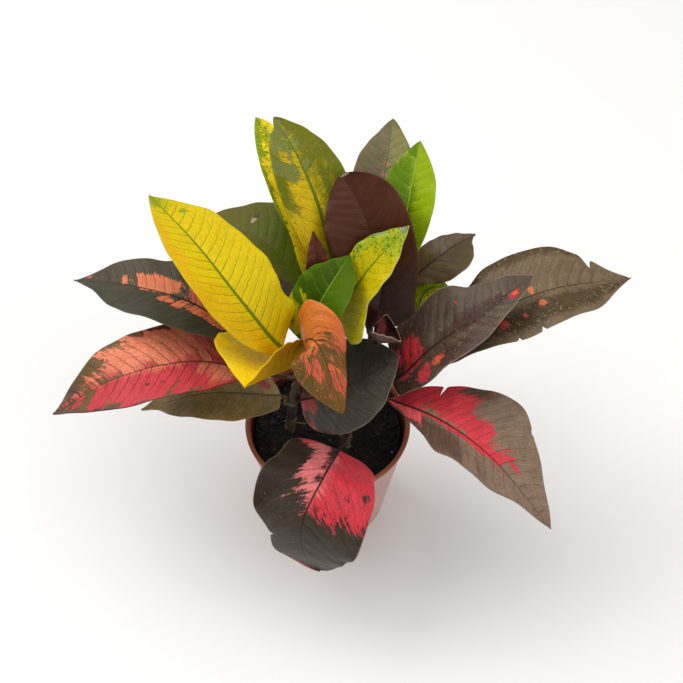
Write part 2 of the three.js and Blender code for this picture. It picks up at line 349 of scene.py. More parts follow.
def makeStem(name, stem, material):
    bm = bmesh.new()
    bmesh.ops.create_grid(bm, x_segments=stemLook["steps"], y_segments=stemLook["sides"], size=0.5)
    green = bm.verts.layers.float.new("green")
    scar = bm.verts.layers.float.new("scar")
    for vert in bm.verts:
        share = vert.co.x + 0.5
        angle = 2 * math.pi * (vert.co.y + 0.5)
        t = smooth(share, 0, 1) * 0.15 + share * 0.85
        middle = curvePoint(stem["points"], t)
        height = middle.z / mm
        turns = (height - stemLook["ringStart"]) / stemLook["ringPitch"]
        bulge = max(0, math.cos(2 * math.pi * turns)) ** 8 if height > stemLook["barePart"] else 0
        # a leaf scar takes one side of each ring, and the next one sits 137 degrees round
        facing = max(0, math.cos(angle - stemLook["scarTurn"] * round(turns))) ** 3
        out = Vector((math.cos(angle), math.sin(angle), 0))
        rough = noise.fractal(out * 1.6 + Vector((0, 0, height * 0.35 + stem["seed"])), 0.7, 2.1, 4)
        radius = stemRadius(stem, t)
        radius += stemLook["ringHeight"] * bulge * (0.35 + facing) + stemLook["bark"] * rough
        radius *= 1 - 0.35 * smooth(share, 0.975, 0.999)
        if share < 1e-6 or share > 1 - 1e-6:
            radius = 0
        vert.co = middle + out * radius * mm
        vert[green] = smooth(t, 0.7, 1) + 0.5 * bulge * smooth(t, 0.45, 0.7)
        vert[scar] = bulge * facing
    bmesh.ops.remove_doubles(bm, verts=bm.verts, dist=1e-6)
    for start, end in stem["stubs"]:  # what is left of old leaf stalks
        for vert in addRod(bm, start, end, stemLook["stubRadii"]):
            vert[green], vert[scar] = 0.35, 0.2
    return finishPiece("stem_" + name + "_bark", bm, [material], ["stem_" + name])


def makeBark():
    material, tree, shader = newMaterial("bark")
    spots = placeGroup(tree, grain, {"Scale": 900.0, "Detail": 4.0})
    paint = mixColour(tree, spots["Patch"], stemLook["brown"], stemLook["dark"])
    paint = mixColour(tree, readAttribute(tree, "green"), paint, stemLook["green"])
    paint = mixColour(tree, readAttribute(tree, "scar"), paint, stemLook["scar"])
    dressShader(tree, shader, paint, stemLook["rough"], spots["Height"], 0.6, 0.0004)
    return material


bark = makeBark()
for name, stem in stems.items():
    makeStem(name, stem, bark)
print("stems made")


# Pot

potLook = {
    "height": 95, "rim": 60, "foot": 41.5, "wall": 1.8, "floor": 2.4, "lipWidth": 3.2, "lipHeight": 3.4,
    "lipRound": 0.9, "footRing": [4.2, 5], "footRise": 0.8, "steps": 144, "bevel": 0.5,
    "holes": 6, "holeRadius": 4, "holeRing": 29,
    # outside is painted light, a pale pink for the brightly lit outer wall; inside is painted shade, the
    # dark brown of the shadowed inner wall; clay is the pot's own colour, kept on the lip
    "clay": "a3563a", "shadedInside": "4a2016", "litOutside": "c29a94", "rough": 0.42,
}


def wallRadius(height):
    top = potLook["rim"] - potLook["lipWidth"] + potLook["wall"]
    return mix(potLook["foot"], top, height / potLook["height"])


def makePot():
    look = potLook
    top, lipFoot, hollow = look["height"], look["height"] - look["lipHeight"], look["footRise"]
    outer, mouth = look["rim"], look["rim"] - look["lipWidth"]
    foot, floor, edge = look["foot"], look["floor"], look["lipRound"]
    inner = wallRadius(floor) - look["wall"]
    profile = [
        (0, hollow), (foot - look["footRing"][1], hollow), (foot - look["footRing"][0], 0), (foot, 0),
        (wallRadius(lipFoot - 12), lipFoot - 12), (wallRadius(lipFoot), lipFoot),
        (outer - 0.5, lipFoot + 0.3), (outer, top - edge), (outer - edge, top),
        (mouth + 0.2, top), (mouth - 0.3, top - edge),
        (inner + 0.6, floor + edge), (inner - 0.6, floor), (0, floor),
    ]
    bm = bmesh.new()
    points = [bm.verts.new((x * mm, 0, z * mm)) for x, z in profile]
    edges = [bm.edges.new(pair) for pair in zip(points, points[1:])]
    bmesh.ops.spin(bm, geom=points + edges, axis=(0, 0, 1), cent=(0, 0, 0), steps=look["steps"],
                   angle=2 * math.pi, use_merge=True)
    bmesh.ops.remove_doubles(bm, verts=bm.verts, dist=1e-6)
    bmesh.ops.recalc_face_normals(bm, faces=bm.faces)
    sharp = [e for e in bm.edges if len(e.link_faces) == 2 and e.calc_face_angle() > 0.45]
    bmesh.ops.bevel(bm, geom=sharp, offset=look["bevel"] * mm, offset_type="OFFSET", segments=3,
                    profile=0.5, affect="EDGES", material=-1, clamp_overlap=True)
    return bm


def cutHoles(bm):
    pot = bpy.data.objects.new("potBlank", bpy.data.meshes.new("potBlank"))
    bm.to_mesh(pot.data)
    bm.free()
    drills = bmesh.new()
    for i in range(potLook["holes"]):
        angle = (i + 0.5) * 2 * math.pi / potLook["holes"]
        made = bmesh.ops.create_cone(drills, cap_ends=True, segments=40, radius1=potLook["holeRadius"] * mm,
                                     radius2=potLook["holeRadius"] * mm, depth=0.012)
        bmesh.ops.translate(drills, verts=made["verts"], vec=Vector((math.cos(angle), math.sin(angle), 0))
                            * potLook["holeRing"] * mm)
    cutter = bpy.data.objects.new("potDrill", bpy.data.meshes.new("potDrill"))
    drills.to_mesh(cutter.data)
    drills.free()
    for thing in (pot, cutter):
        addToScene(thing)
    cut = pot.modifiers.new("holes", "BOOLEAN")
    cut.operation, cut.object, cut.solver = "DIFFERENCE", cutter, "EXACT"
    result = bmesh.new()
    result.from_object(pot, bpy.context.evaluated_depsgraph_get())
    bpy.data.objects.remove(pot)
    bpy.data.objects.remove(cutter)
    return result


def makePotPlastic():
    material, tree, shader = newMaterial("potPlastic")
    spots = placeGroup(tree, grain, {"Scale": 2600.0, "Detail": 2.0})
    place = addNode(tree, "ShaderNodeTexCoord").outputs["Object"]
    split = addNode(tree, "ShaderNodeSeparateXYZ", {0: place})
    level = rise(tree, split.outputs[2], 0.0895, 0.0915)
    flat = addNode(tree, "ShaderNodeCombineXYZ", {0: split.outputs[0], 1: split.outputs[1]})
    radius = addNode(tree, "ShaderNodeVectorMath", {0: flat.outputs[0]}, operation="LENGTH")
    middle = total(tree, times(tree, split.outputs[2], 0.18), 0.0406)  # of the wall
    # painted light and shade: the wall's outer face takes the pale lit colour and its inner face the dark
    # shaded colour, then the lip band takes the clay colour
    litOutside = maths(tree, "GREATER_THAN", radius.outputs["Value"], middle)
    paint = mixColour(tree, litOutside, potLook["shadedInside"], potLook["litOutside"])
    paint = mixColour(tree, level, paint, potLook["clay"])
    # random grain spots, pulled a little towards the dark shaded-wall colour
    paint = mixColour(tree, times(tree, spots["Patch"], 0.07), paint, potLook["shadedInside"])
    dressShader(tree, shader, paint, potLook["rough"], spots["Height"], 0.15, 0.0002)
    return material


finishPiece("nursery_pot", cutHoles(makePot()), [makePotPlastic()], ["pot"])
print("pot made")


# Soil

soilLook = {
    "top": 84, "bottom": 2.7, "shoulder": 4, "steps": 150, "rings": 60, "lumps": 1.5, "crumbs": 2600,
    "perlite": 7, "seed": 21, "stalk": [[-32, 7, 87.2], [-16, 4.6, 87]], "stalkRadii": [0.7, 0.45],
    "batch": 60, "dark": "0b090a", "brown": "1c1510", "white": "b0a99c",
}


def soilHeight(x, y):
    lump = noise.fractal(Vector((x * 0.09, y * 0.09, 2.0)), 0.8, 2.0, 4)
    grit = noise.fractal(Vector((x * 0.5, y * 0.5, 9.0)), 0.6, 2.2, 3)
    return soilLook["top"] + soilLook["lumps"] * lump + 0.5 * grit


def makeSoil(materials):
    look = soilLook
    shoulder = look["top"] - look["shoulder"]
    low, high = wallRadius(look["bottom"]) - 2.1, wallRadius(shoulder) - 2.1
    bm = bmesh.new()
    profile = [(0, look["bottom"]), (low, look["bottom"]), (high, shoulder)]
    profile += [(high * (1 - i / look["rings"]), look["top"]) for i in range(1, look["rings"] + 1)]
    points = [bm.verts.new((x * mm, 0, z * mm)) for x, z in profile]
    edges = [bm.edges.new(pair) for pair in zip(points, points[1:])]
    bmesh.ops.spin(bm, geom=points + edges, axis=(0, 0, 1), cent=(0, 0, 0), steps=look["steps"],
                   angle=2 * math.pi, use_merge=True)
    bmesh.ops.remove_doubles(bm, verts=bm.verts, dist=1e-6)
    for vert in bm.verts:
        if vert.co.z > (look["top"] - 0.1) * mm:
            vert.co.z = soilHeight(vert.co.x / mm, vert.co.y / mm) * mm
    for vert in addRod(bm, *look["stalk"], look["stalkRadii"]):
        for face in vert.link_faces:
            face.material_index = 3
    dice = random.Random(look["seed"])
    count = look["crumbs"] + look["perlite"]
    heap = bmesh.new()
    for i in range(count):
        turn, away = dice.uniform(0, 2 * math.pi), (high - 1) * math.sqrt(dice.random())
        x, y = away * math.cos(turn), away * math.sin(turn)
        white = i >= look["crumbs"]
        size = dice.uniform(0.5, 1.0) if white else 0.4 + 1.5 * dice.random() ** 3
        ball = bmesh.ops.create_icosphere(heap, subdivisions=1, radius=size * mm)["verts"]
        tall = dice.uniform(0.5, 0.9)
        for vert in ball:
            vert.co += Vector([dice.uniform(-0.25, 0.25) * size * mm for axis in range(3)])
            vert.co.z *= tall
        spin = Quaternion((0, 0, 1), turn * 5).to_matrix()
        bmesh.ops.rotate(heap, verts=ball, matrix=spin, cent=(0, 0, 0))
        bmesh.ops.translate(heap, verts=ball, vec=Vector((x, y, soilHeight(x, y) + 0.2 * size)) * mm)
        if white or dice.random() < 0.12:
            for face in {f for v in ball for f in v.link_faces}:
                face.material_index = 2 if white else 1
        # a small heap at a time, since the operators slow down on a big mesh
        if (i + 1) % look["batch"] == 0 or i == count - 1:
            batch = bpy.data.meshes.new("crumbs")
            heap.to_mesh(batch)
            bm.from_mesh(batch)
            bpy.data.meshes.remove(batch)
            heap.clear()
    heap.free()
    return finishPiece("potting_soil", bm, materials, ["soil"])


def makeEarth(name, dark, brown, rough):
    material, tree, shader = newMaterial(name)
    spots = placeGroup(tree, grain, {"Scale": 1300.0, "Detail": 5.0})
    paint = mixColour(tree, spots["Patch"], dark, brown)
    dressShader(tree, shader, paint, rough, spots["Height"], 0.8, 0.0006)
    return material


makeSoil([
    makeEarth("peat", soilLook["dark"], soilLook["brown"], 0.9),
    makeEarth("barkChip", soilLook["brown"], "5a4028", 0.8),
    makeEarth("perlite", soilLook["white"], "a8a196", 0.85),
    makeEarth("dryStalk", "6e5f3c", "8c7a50", 0.7),
])
print("soil made")


# Leaves

# What a leaf is unless its own entry says otherwise. Stem, up, blade and the main shape are the solid's.
# wave and waves ripple the margin, crinkle and quilt are finer, and dents cut in as [share along, side,
# depth, half length], where the left side is +1 and a depth below 0 bulges. Then come the colours, the
# patches where they lie as [share along, share across, half length, half width], and how strongly each
# pattern shows.
plainLeaf = {
    "stem": "left", "slot": "leaf_dark", "width": 48, "widest": 0.45, "taper": [0.85, 0.85], "turn": 0,
    "roll": 0, "fold": 10, "cup": 0, "skew": 0, "wave": 1.5, "waves": 2, "crinkle": 0.5, "quilt": 0.35,
    "pitch": 8, "rows": 120, "columns": 15, "dents": [],
    "base": "3f3626", "second": "4c4230", "accent": "b03c38", "glowColour": "cc7030",
    "fleckColour": "2f2418", "spatterColour": "7a6a44", "veinColour": "241c12", "ribColour": "221810",
    "edgeColour": "7a6a52", "underColour": "4f4030",
    "blush": [], "glow": [], "shade": [], "flecks": [], "jag": 0.8, "laneJag": 0.3, "fleck": 0.3,
    "spatter": 0.0, "veinWidth": 0.07, "ribWidth": 1.1, "vein": 0.45, "net": 0.1, "edge": 0.35,
    "mottle": 0.8, "streak": 0.6, "grit": 0.7, "under": 0.85, "rough": 0.42, "shine": 0.25,
}
yellowLook = {
    "slot": "leaf_yellow", "base": "d2b602", "second": "8f9c08", "spatterColour": "5c8408",
    "veinColour": "7c8408", "ribColour": "66740c", "edgeColour": "98a814", "underColour": "a87c10",
    "spatter": 0.45, "veinWidth": 0.055, "ribWidth": 1.7, "vein": 0.6, "net": 0.28, "mottle": 0.3,
    "streak": 0.2, "grit": 0.35, "shine": 0.12,
}
greenLook = {
    "slot": "leaf_green", "base": "476002", "second": "365004", "accent": "a8a408", "glowColour": "c8b810",
    "spatterColour": "8a9c10", "veinColour": "6a8418", "ribColour": "7c9830", "edgeColour": "6f8a28",
    "underColour": "5f7a2a", "mottle": 0.35, "streak": 0.2, "shine": 0.15,
}
maroonLook = {
    # second is the dark grey that maroon_tall paints as shadow
    "slot": "leaf_maroon", "base": "48220e", "second": "38281e", "veinColour": "2c1208",
    "ribColour": "2c1208", "edgeColour": "5c3426", "underColour": "3c2018", "vein": 0.35, "net": 0.08,
    "mottle": 0.4, "streak": 0.25,
}

leaves = {
    "yellow_left": {
        **yellowLook, "up": 0.84, "blade": [[-30, -8, 192], [-57, 5, 228], [-88, 42, 243], [-124, 94, 236]],
        "width": 62, "roll": 8, "skew": -0.09, "wave": 1.2, "waves": 2.5, "pitch": 7.6,
        "dents": [[0.8, -1, -2.5, 0.1], [0.08, -1, -15, 0.1]],
        "accent": "d4a808", "glowColour": "d8ac08", "edgeColour": "a8b414",
        "blush": [[0.2, 0.8, 0.3, 0.7], [0.6, 1.0, 0.3, 0.4]],
        "shade": [[0.99, 0, 0.08, 1.0], [0.84, -0.55, 0.016, 0.12]], "jag": 0.7, "laneJag": 0.2,
        "fleck": 0.1, "spatter": 0.4, "veinWidth": 0.07, "ribWidth": 2.1, "vein": 1.0, "edge": 0.5,
    },
    "yellow_back": {
        **yellowLook, "up": 0.88, "blade": [[-9, 41, 198], [-15, 82, 240], [-51, 154, 251]],
        "widest": 0.5, "fold": 14, "dents": [[0.34, 1, 5, 0.16]],
        # base is a lighter yellow than the leaf's own: painted light that makes up for the shadow olive_back
        # casts on this leaf
        "base": "fcdc20", "second": "86940c",
        "shade": [[1.0, 0.6, 0.14, 1.0], [0.86, 1.0, 0.12, 0.5], [0.6, 1.0, 0.3, 0.12]], "jag": 1.0,
        "net": 0.5,
    },
    "olive_back": {
        **yellowLook, "up": 0.93, "slot": "leaf_lime",
        "blade": [[5, 37, 205], [-4, 65, 248], [-21, 99, 272], [-37, 129, 276]],
        "width": 50, "fold": 14, "wave": 1.2, "dents": [[0.92, 1, 3, 0.05]],
        # accent and glowColour are a painted sheen: the grey-green of the blush patch near the tip of the
        # left half stands for a soft reflection of the lamps
        "base": "c8a808", "second": "646404", "accent": "72743a", "glowColour": "74744a",
        "spatterColour": "6a7a10", "veinColour": "56600c", "ribColour": "5c6a14",
        "blush": [[0.9, 0.5, 0.3, 0.75]],
        "shade": [[0.8, -0.6, 0.4, 0.62], [0.55, -1.0, 0.4, 0.45], [0.62, 0.9, 0.25, 0.35],
                  [0.5, -0.45, 0.14, 0.16]], "jag": 1.0, "fleck": 0.2, "spatter": 0.42, "ribWidth": 2.4,
        "net": 0.3,
    },
    "green_shaded": {
        **greenLook, "up": 0.78, "blade": [[-8, 36, 180], [-46, 78, 206], [-92, 108, 192]],
        "width": 60, "widest": 0.5, "taper": [0.5, 0.85], "fold": 8, "skew": -0.12,
        # base is partly the leaf's own grey-olive and partly a painted sheen, a glossy grey over the part
        # the green shade patch leaves
        "base": "625e26", "second": "4c5c06", "accent": "4e4238", "glowColour": "b09880",
        "spatterColour": "7c8c14", "veinColour": "3c4414", "ribColour": "50581c",
        "blush": [[0.64, -0.4, 0.016, 0.16], [0.16, 0.85, 0.16, 0.5]], "glow": [[0.64, -0.35, 0.06, 0.08]],
        "shade": [[0.26, -0.45, 0.34, 0.75]], "jag": 0.4, "laneJag": 0.1, "spatter": 0.3, "vein": 0.2,
    },
    "dark_left": {
        "up": 0.7, "blade": [[-51, 14, 172], [-92, 30, 194], [-136, 48, 192], [-181, 67, 176]],
        "width": 57, "widest": 0.48, "taper": [0.85, 0.95], "fold": 8, "wave": 1.8, "waves": 2.5,
        "dents": [[0.86, 1, 3, 0.09]],
        "base": "4e4634", "second": "42402f", "accent": "dc6c58", "glowColour": "dc7a50",
        "fleckColour": "5a3c20",
        "blush": [[0.57, -0.2, 0.135, 0.24], [0.46, 0.2, 0.055, 0.14], [0.24, 0.16, 0.13, 0.24],
                  [0.92, -0.45, 0.016, 0.16], [0.34, -0.32, 0.06, 0.3]],
        # the last glow patch, near the stalk, is partly the leaf's own orange and partly painted light,
        # lighter to make up for the shadow yellow_left casts there
        "glow": [[0.56, -0.2, 0.18, 0.3], [0.46, 0.2, 0.08, 0.2], [0.26, 0.2, 0.14, 0.3]],
        "shade": [[0.5, 0.7, 0.6, 0.6]], "fleck": 0.34, "shine": 0.22,
    },
    "red_left": {
        "up": 0.5, "slot": "leaf_red",
        "blade": [[-46, 6, 146], [-90, 0, 168], [-140, -14, 170], [-191, -26, 142]],
        "width": 64, "widest": 0.52, "fold": 8, "wave": 2, "waves": 2.5, "quilt": 0.45,
        "base": "6e5834", "second": "5c4a3c", "accent": "c84048", "glowColour": "e88664",
        "fleckColour": "6a3c24", "spatterColour": "6c6228", "veinColour": "4e201c", "ribColour": "5a3820",
        "edgeColour": "4f3034",
        # the second glow patch, near the stalk, is partly the leaf's own peach and partly painted light,
        # lighter to make up for the shadow yellow_folded casts there
        "blush": [[0.3, 0, 0.34, 1.5], [0.58, 0.35, 0.26, 0.6], [0.56, -0.3, 0.24, 0.55],
                  [0.45, -0.7, 0.22, 0.4]], "glow": [[0.54, -0.5, 0.28, 0.5], [0.2, 0.35, 0.12, 0.4]],
        "shade": [[0.98, 0, 0.12, 1.2], [0.8, 1.0, 0.3, 0.2]],
        "flecks": [[0.78, -0.8, 0.14, 0.4], [0.5, -0.98, 0.3, 0.25], [0.31, -0.35, 0.03, 0.12],
                   [0.58, 0.5, 0.02, 0.1], [0.51, 0.55, 0.02, 0.1]], "laneJag": 0.5, "spatter": 0.34,
        "veinWidth": 0.08, "vein": 0.75, "net": 0.25, "edge": 0.9, "shine": 0.15,
    },
    "brown_low_left": {
        "up": 0.25, "blade": [[-34, 5, 120], [-85, -4, 136], [-133, -4, 116]],
        "widest": 0.42, "taper": [0.5, 1.3], "fold": 6, "dents": [[0.86, 1, 2.5, 0.07], [0.4, 1, -2, 0.12]],
        # base and second are lighter than the leaf's own brown: painted light that makes up for the shadow
        # red_left casts on this leaf
        "base": "9a8056", "second": "806c3c", "accent": "a84a50", "spatterColour": "8c7c44",
        "ribColour": "5a4a2e", "blush": [[0.12, -0.5, 0.04, 0.2]], "shade": [[0.4, 0.5, 0.4, 0.6]],
        "spatter": 0.44, "vein": 0.25, "mottle": 1.2, "streak": 0.8,
    },
    "yellow_folded": {
        **yellowLook, "up": 0.66, "blade": [[-22, -3, 167], [-37, -25, 186], [-54, -49, 204]],
        "width": 74, "taper": [0.85, 0.7], "roll": 35, "fold": 45, "skew": -0.22, "wave": 1,
        "dents": [[0.7, -1, -7, 0.18], [0.14, 1, -6, 0.15]],
        # base is lifted past the leaf's own yellow to the brightest one: painted light for the far half of
        # the fold, which the lamps leave in shade
        "base": "ffd800", "second": "d0900e", "ribColour": "a8900c", "edgeColour": "dcc414",
        "underColour": "b07c10", "shade": [[0.35, 0.95, 0.45, 0.4]], "jag": 0.5, "spatter": 0.0,
        "vein": 0.3, "edge": 0.7, "streak": 0.4,
    },
    "green_young": {
        **greenLook, "up": 0.9, "blade": [[-17, 4, 187], [-2, 13, 223], [16, 37, 238]],
        "widest": 0.42, "taper": [0.2, 0.85], "fold": 22, "skew": -0.12, "wave": 1,
        "dents": [[0.1, 1, -12, 0.13]],
        "base": "466404", "blush": [[0.26, 0.62, 0.14, 0.24], [0.14, 0.5, 0.1, 0.36]],
        "shade": [[0.6, 0.4, 0.3, 0.4]], "jag": 1.1, "laneJag": 0.9, "fleck": 0.42, "spatter": 0.28,
        "vein": 0.55, "shine": 0.08,
    },
    "lime_young": {
        **yellowLook, "up": 0.95, "slot": "leaf_lime",
        "blade": [[4, 13, 195], [28, 26, 235], [55, 41, 263]],
        "width": 42, "taper": [0.5, 0.85], "fold": 16, "skew": -0.12, "wave": 1,
        "dents": [[0.14, -1, -16, 0.13], [0.24, -1, -7, 0.09]],
        "base": "c8b406", "second": "aab42a", "accent": "8a9878", "glowColour": "b0b48c",
        "veinColour": "688008", "ribColour": "5c7c10", "edgeColour": "a8b468",
        "blush": [[0.77, 0.95, 0.05, 0.12], [1.0, 0.3, 0.09, 1]],
        "shade": [[0.88, 0.2, 0.16, 0.9], [0.7, 0.9, 0.25, 0.3]], "spatter": 0.46, "net": 0.5, "edge": 0.6,
    },
    "maroon_small": {
        **maroonLook, "up": 1, "blade": [[-7, 28, 205], [-6, 35, 230], [-9, 44, 254]],
        "width": 18, "fold": 20, "wave": 0.5, "waves": 1, "rows": 60, "columns": 8,
        "base": "603020",
    },
    "orange_centre": {
        "up": 0.58, "slot": "leaf_orange",
        "blade": [[-13, -14, 186], [-13, -19, 216], [-4, -28, 218], [11, -54, 182]],
        "width": 52, "widest": 0.44, "taper": [0.7, 0.72], "turn": 40, "roll": 30, "fold": 0, "skew": -0.12,
        "wave": 1,
        "dents": [[0.82, -1, -4, 0.1], [0.56, -1, 9, 0.1], [0.4, -1, -3, 0.08], [0.36, 1, -5, 0.12],
                  [0.16, 1, -8, 0.1]],
        "base": "6c4c1c", "second": "5c4814", "accent": "c4583a", "glowColour": "c86e2a",
        "fleckColour": "6c4c1c", "spatterColour": "b05430", "veinColour": "6a3418", "ribColour": "4a2a12",
        "edgeColour": "b87a48", "underColour": "8a5a3a",
        "blush": [[0.42, 0.9, 0.44, 1.05], [0.35, 0.4, 0.38, 0.7], [0.7, -0.42, 0.16, 0.22],
                  [0.86, 0.3, 0.05, 0.3]], "glow": [[0.34, 0.5, 0.34, 1.2]],
        "shade": [[0.6, -0.8, 0.4, 0.4]],
        "flecks": [[0.95, 0, 0.12, 0.9], [0.72, -0.4, 0.3, 0.6], [0.85, 0.5, 0.1, 0.5]], "jag": 0.6,
        "spatter": 0.4, "streak": 1.1, "shine": 0.15,
    },
    "grey_centre": {
        "up": 0.34, "blade": [[-18, -1, 124], [14, -18, 163], [49, -16, 194]],
        "width": 66, "taper": [0.6, 0.75], "roll": 28, "fold": 0, "wave": 1,
        "dents": [[0.1, 1, 6, 0.1], [0.3, -1, 2.5, 0.15], [0.38, 1, -11, 0.15], [0.8, 1, -4, 0.14]],
        "base": "4a443a", "second": "3a342b", "accent": "a44a4a", "glowColour": "b86864",
        "fleckColour": "463018", "edgeColour": "8a7c6a",
        "blush": [[0.03, -0.5, 0.06, 0.7], [0.1, -0.2, 0.1, 0.25], [0.13, -0.95, 0.06, 0.3]],
        "glow": [[0.03, -0.7, 0.04, 0.5]], "shade": [[0.6, 0.5, 0.4, 0.6]],
        "flecks": [[0.12, -0.7, 0.1, 0.3]], "fleck": 0.36, "edge": 0.6, "mottle": 0.9, "streak": 2.2,
    },
    "maroon_tall": {
        **maroonLook, "stem": "right", "up": 0.97,
        "blade": [[34, 17, 185], [38, 35, 219], [26, 58, 254], [10, 80, 272]],
        "width": 60, "widest": 0.58, "taper": [0.4, 0.65], "roll": -25, "fold": 12,
        "dents": [[0.08, -1, -12, 0.12]],
        # the small pale blush spot at the tip, in the accent and glowColour, is a painted highlight
        "accent": "a89a80", "glowColour": "a89a80", "blush": [[0.985, -0.5, 0.012, 0.8]],
        # the shade patch near the stalk, in maroonLook's dark grey second colour, is painted shadow where
        # lime_young shades the lower part of this leaf
        "shade": [[0.15, -0.3, 0.22, 1.0]], "jag": 0.2, "laneJag": 0.0, "edge": 0.5,
    },
    "green_tall": {
        **greenLook, "stem": "right", "up": 0.89, "blade": [[48, 42, 202], [55, 66, 256], [63, 96, 287]],
        "width": 38, "widest": 0.54, "fold": 14, "wave": 1,
        # the lighter base, on the half outside the shade patch, is partly the leaf's own green and partly a
        # painted sheen
        "base": "92ac0a", "second": "5c7c04", "veinColour": "90a83c", "ribColour": "98ac4c",
        "shade": [[0.5, 0.6, 0.6, 0.62]], "vein": 0.3,
    },
    "mottled_back": {
        "stem": "right", "up": 0.83, "blade": [[33, 69, 222], [40, 104, 246], [46, 143, 261]],
        "width": 44, "wave": 1.2,
        "base": "7c763c", "second": "6e6048", "accent": "c07058", "glowColour": "cc8c68",
        "spatterColour": "5c6c20", "veinColour": "4a4232", "ribColour": "5a4c40",
        "blush": [[0.585, 0.03, 0.028, 0.1], [0.5, 0.03, 0.02, 0.08]], "shade": [[0.6, 0.7, 0.6, 0.72]],
        "jag": 0.4, "spatter": 0.44,
    },
    "brown_right": {
        "stem": "right", "up": 0.77, "blade": [[57, 46, 194], [81, 60, 213], [104, 80, 211]],
        "width": 34, "widest": 0.44, "taper": [0.8, 1.4], "fold": 12, "skew": -0.15, "waves": 1.5,
        "dents": [[0.55, -1, -6, 0.2]],
        # the shade patch near the tip of the left half, in the lighter grey second colour, is a painted
        # sheen
        "base": "5a4828", "second": "6a5c4a", "shade": [[0.8, 0.5, 0.3, 0.6]],
    },
    "yellow_tucked": {
        **yellowLook, "stem": "right", "up": 0.44, "slot": "leaf_lime",
        "blade": [[56, 27, 162], [69, 44, 191], [87, 47, 190]],
        "width": 26, "widest": 0.5, "wave": 0.5, "waves": 1, "rows": 60, "columns": 9,
        # base and second are lighter than the leaf's own: painted light that makes up for the shade this
        # tucked leaf sits in
        "base": "d0c010", "second": "9cbc0c", "accent": "a05c18", "glowColour": "b04820",
        "blush": [[0.35, -0.6, 0.2, 0.25]], "shade": [[0.6, 0.6, 0.5, 0.8]], "jag": 1.2,
    },
    "dark_right": {
        "stem": "right", "up": 0.68,
        "blade": [[62, 2, 170], [106, 10, 203], [153, 25, 216], [211, 48, 200]],
        "width": 70, "widest": 0.55, "taper": [0.45, 0.85], "fold": 8, "skew": 0.05, "wave": 2, "waves": 3,
        "quilt": 0.8, "rows": 200,
        "dents": [[0.855, 1, 9, 0.012], [0.34, 1, 4, 0.12], [0.445, -1, 3, 0.005], [0.55, -1, 4, 0.006],
                  [0.92, -1, 2.5, 0.07], [0.12, 1, -6, 0.07]],
        "base": "725e46", "second": "4c3a20", "accent": "c04038", "glowColour": "d87838",
        "fleckColour": "6a3428", "spatterColour": "84725c", "edgeColour": "8c7a64",
        "blush": [[0.58, 0.1, 0.012, 0.1], [0.6, -0.3, 0.016, 0.08], [0.51, -0.45, 0.01, 0.08],
                  [0.41, -0.45, 0.022, 0.16], [0.11, 0.95, 0.035, 0.25]],
        "glow": [[0.58, 0.1, 0.012, 0.1], [0.6, -0.3, 0.015, 0.07]],
        "shade": [[0.1, 0.0, 0.2, 1.3], [0.5, 1.0, 0.4, 0.2], [0.6, -0.5, 0.5, 0.3]], "jag": 0.5,
        "laneJag": 0.1, "fleck": 0.2, "spatter": 0.4, "mottle": 1.2, "streak": 0.9, "grit": 0.9,
    },
    "dark_lobed": {
        "stem": "right", "up": 0.74,
        "blade": [[46, -11, 160], [73, -10, 199], [107, 0, 226], [139, 24, 232]],
        "width": 54, "widest": 0.36, "taper": [0.7, 0.85], "skew": 0.1, "wave": 2, "waves": 2.5,
        "quilt": 0.8, "rows": 160,
        "dents": [[0.5, 1, -3, 0.14], [0.1, 1, -5, 0.14], [0.64, 1, 1.5, 0.05], [0.14, -1, 3, 0.1]],
        "base": "58493a", "second": "4c3226", "accent": "c8343c", "glowColour": "d46438",
        "fleckColour": "3c1c14", "spatterColour": "75685a", "edgeColour": "9a8670",
        "blush": [[0.2, 0.35, 0.06, 0.3], [0.15, -0.1, 0.1, 0.2], [0.33, -0.55, 0.045, 0.16],
                  [0.1, 0.5, 0.06, 0.3], [0.24, -0.6, 0.05, 0.3], [0.84, -0.35, 0.036, 0.3],
                  [0.54, 0.6, 0.006, 0.07]], "glow": [[0.33, -0.55, 0.04, 0.12], [0.84, -0.35, 0.02, 0.14]],
        "shade": [[0.1, 0, 0.2, 1.4], [0.6, 0, 0.2, 0.3], [0.44, -0.7, 0.2, 0.35]], "jag": 0.6,
        "fleck": 0.34, "spatter": 0.39, "edge": 0.7, "mottle": 1.2, "streak": 1.0, "grit": 0.9,
    },
    "crimson_low_right": {
        "stem": "right", "up": 0.5, "slot": "leaf_red",
        "blade": [[42, -18, 148], [78, -43, 158], [114, -65, 142], [155, -91, 96]],
        "width": 62, "widest": 0.55, "fold": 8, "skew": 0.28, "pitch": 8.5,
        "dents": [[0.25, 1, 9, 0.005], [0.72, 1, 1.5, 0.006], [0.4, -1, -6, 0.08], [0.62, 1, -4, 0.12],
                  [0.85, -1, 4, 0.08]],
        "base": "866e5a", "second": "5c4438", "accent": "d43a44", "glowColour": "e0585a",
        "fleckColour": "84342e", "veinColour": "3f2420", "ribColour": "331a14", "edgeColour": "7c6054",
        "blush": [[0.08, 0.5, 0.26, 0.9], [0.3, 0.5, 0.2, 0.42], [0.45, 0.25, 0.2, 0.26],
                  [0.6, 0.06, 0.12, 0.12], [0.12, -0.35, 0.13, 0.4], [0.36, -0.08, 0.3, 0.1],
                  [0.75, 0.24, 0.06, 0.05]], "glow": [[0.1, -0.5, 0.14, 0.4]],
        "shade": [[0.25, -0.7, 0.3, 0.5], [0.35, 0.9, 0.16, 0.3]], "jag": 0.6, "laneJag": 0.35,
        "fleck": 0.22, "net": 0.16, "mottle": 0.9, "streak": 0.9, "grit": 0.8, "shine": 0.18,
    },
    "crimson_front": {
        "stem": "right", "up": 0.2, "slot": "leaf_red",
